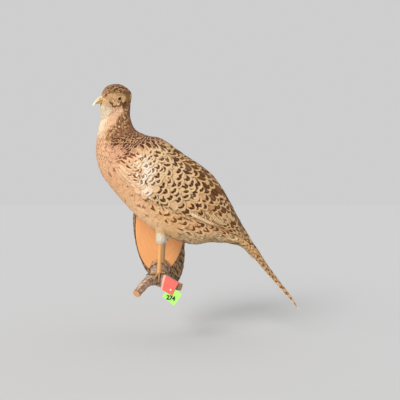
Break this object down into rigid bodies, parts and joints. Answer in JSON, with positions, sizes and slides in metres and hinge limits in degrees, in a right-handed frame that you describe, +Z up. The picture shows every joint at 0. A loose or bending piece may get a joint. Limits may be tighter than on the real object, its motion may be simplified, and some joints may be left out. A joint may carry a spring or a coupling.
{
  "type": "taxidermy hen pheasant wall mount",
  "caption": "Still mounted hen pheasant with closed wings and a long tail, standing on a forked branch that grows out of an oval bark-edged wooden wall plaque.",
  "frame": {"origin": "middle of the plaque's flat back face, where it lies on the wall", "axes": "+Z up; the wall is the plane Y = 0 and +Y points into it; the bird stands on the -Y side, facing -X, its tail towards +X"},
  "size_m": [0.3673, 0.1819, 0.4026],
  "materials": {
    "plumage": "matt, soft",
    "pale_plumage": "matt, downy",
    "bill_horn": "satin",
    "glass_eye": "polished glass",
    "scaly_leg": "dry, satin",
    "claw_horn": "satin",
    "varnished_wood": "satin varnish",
    "bark": "rough",
    "red_paper": "matt",
    "green_paper": "matt",
    "tack_head": "satin"
  },
  "bodies": {
    "root": {"head": "plumage", "neck": "plumage", "trunk": "plumage", "wing_left": "plumage", "wing_right": "plumage", "tail": "plumage", "shank_left": "pale_plumage", "shank_right": "pale_plumage", "bill_upper": "bill_horn", "bill_lower": "bill_horn", "eye_left": "glass_eye", "eye_right": "glass_eye", "tarsus_left": "scaly_leg", "foot_left": "scaly_leg", "toe_inner_left": "scaly_leg", "claw_inner_left": "claw_horn", "toe_middle_left": "scaly_leg", "claw_middle_left": "claw_horn", "toe_outer_left": "scaly_leg", "claw_outer_left": "claw_horn", "toe_hind_left": "scaly_leg", "claw_hind_left": "claw_horn", "tarsus_right": "scaly_leg", "foot_right": "scaly_leg", "toe_inner_right": "scaly_leg", "claw_inner_right": "claw_horn", "toe_middle_right": "scaly_leg", "claw_middle_right": "claw_horn", "toe_outer_right": "scaly_leg", "claw_outer_right": "claw_horn", "toe_hind_right": "scaly_leg", "claw_hind_right": "claw_horn", "plaque_wood": "varnished_wood", "plaque_bark": "bark", "branch_stem": "bark", "branch_arm_left": "bark", "branch_arm_right": "bark", "label_red": "red_paper", "label_green": "green_paper", "label_tack": "tack_head"}
  },
  "joints": []
}
